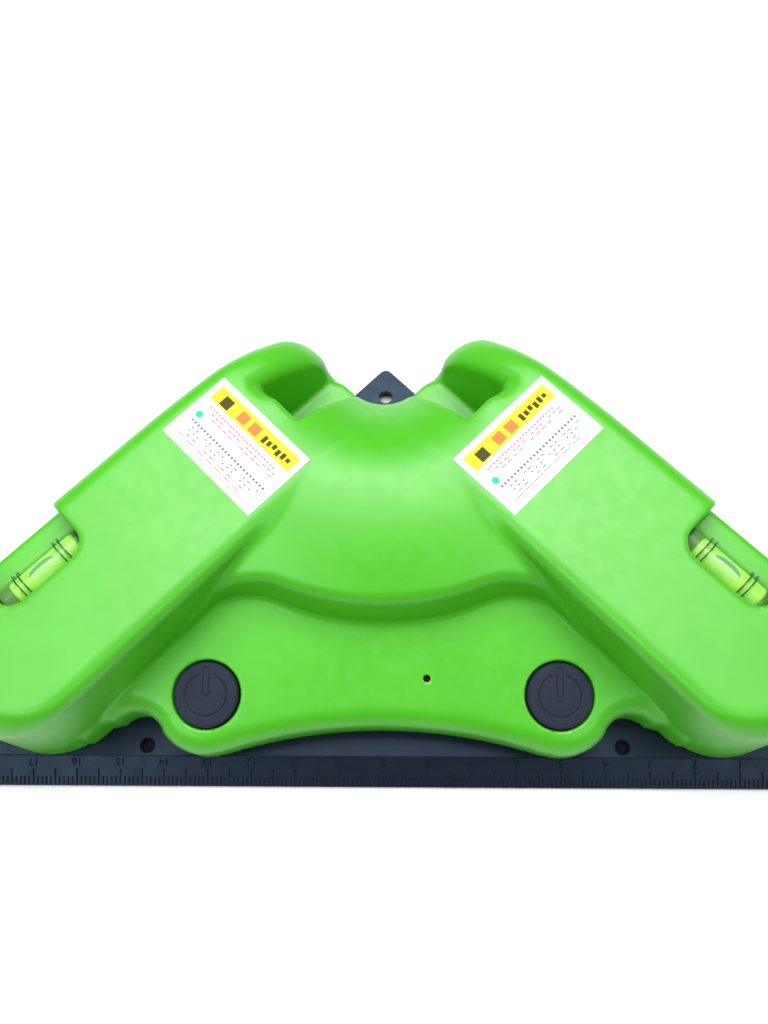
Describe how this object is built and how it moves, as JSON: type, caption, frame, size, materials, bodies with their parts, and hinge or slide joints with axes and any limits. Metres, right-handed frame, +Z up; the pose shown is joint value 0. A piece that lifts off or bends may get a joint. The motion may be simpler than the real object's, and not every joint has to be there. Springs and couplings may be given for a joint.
{
  "type": "right angle laser square level",
  "caption": "Right-angle laser square with two laser arms, spirit vials, round power buttons and a ruler base plate with a through hole at its apex and two pin holes in front.",
  "frame": {"origin": "on the resting plane under the middle of the whole object's box", "axes": "+X along the ruler edge, to the right seen from the ruler side; +Y from the ruler edge towards the apex tab; +Z up out of the base plate"},
  "size_m": [0.196, 0.1046, 0.0356],
  "materials": {
    "green_plastic": "fine satin moulding",
    "black_plastic": "satin moulding",
    "dark_rubber": "matt silicone rubber",
    "white_plastic": "plain",
    "dark_fitting": "plain",
    "cell_wrap": "printed film, plain",
    "plated_steel": "nickel plated",
    "red_plastic": "gloss",
    "lead_cover": "soft insulation",
    "bright_steel": "zinc plated",
    "brass": "turned",
    "lens_glass": "polished",
    "clear_acrylic": "clear, polished",
    "level_fluid": "clear yellow-green fluid",
    "label_film": "film label",
    "board_laminate": "solder resist"
  },
  "bodies": {
    "housing": {"base_plate": "black_plastic", "battery_cell_1": "cell_wrap", "battery_cell_2": "cell_wrap", "battery_lead_black": "lead_cover", "battery_lead_red": "red_plastic", "battery_spring_1": "plated_steel", "battery_spring_2": "plated_steel", "board_screw_1": "bright_steel", "board_screw_2": "bright_steel", "board_screw_3": "bright_steel", "bridge_contact": "plated_steel", "circuit_board": "board_laminate", "clamp_screw_left_1": "bright_steel", "clamp_screw_left_2": "bright_steel", "clamp_screw_right_1": "bright_steel", "clamp_screw_right_2": "bright_steel", "housing_screw_1": "bright_steel", "housing_screw_2": "bright_steel", "housing_screw_3": "bright_steel", "housing_screw_4": "bright_steel", "housing_screw_5": "bright_steel", "housing_screw_6": "bright_steel", "indicator_lamp": "red_plastic", "label_left": "label_film", "label_right": "label_film", "laser_barrel_left": "brass", "laser_barrel_right": "brass", "laser_clamp_left": "bright_steel", "laser_clamp_right": "bright_steel", "laser_lead_left": "lead_cover", "laser_lead_right": "lead_cover", "laser_lens_left": "lens_glass", "laser_lens_right": "lens_glass", "negative_contact": "plated_steel", "positive_contact": "plated_steel", "power_switch_left": "dark_fitting", "power_switch_right": "dark_fitting", "upper_housing": "green_plastic", "vial_fluid_left": "level_fluid", "vial_fluid_right": "level_fluid", "vial_plug_left": "dark_fitting", "vial_plug_right": "dark_fitting", "vial_tube_left": "clear_acrylic", "vial_tube_right": "clear_acrylic"},
    "left_button": {"power_button_left": "dark_rubber", "switch_plunger_left": "white_plastic"},
    "right_button": {"power_button_right": "dark_rubber", "switch_plunger_right": "white_plastic"},
    "battery_door": {"battery_door": "black_plastic"}
  },
  "joints": [
    {"name": "left_button_press", "type": "slide", "parent": "housing", "child": "left_button", "axis": [0, 0.1822, -0.9833], "range_m": [0, 0.0012], "stiffness_N_per_m": 1500, "springref_m": -0.0003},
    {"name": "right_button_press", "type": "slide", "parent": "housing", "child": "right_button", "axis": [0, 0.1822, -0.9833], "range_m": [0, 0.0012], "stiffness_N_per_m": 1500, "springref_m": -0.0003},
    {"name": "battery_door_hinge", "type": "hinge", "parent": "housing", "child": "battery_door", "pos_m": [0, 0.01627, 0.00025], "axis": [1, 0, 0], "range_deg": [0, 80]}
  ]
}
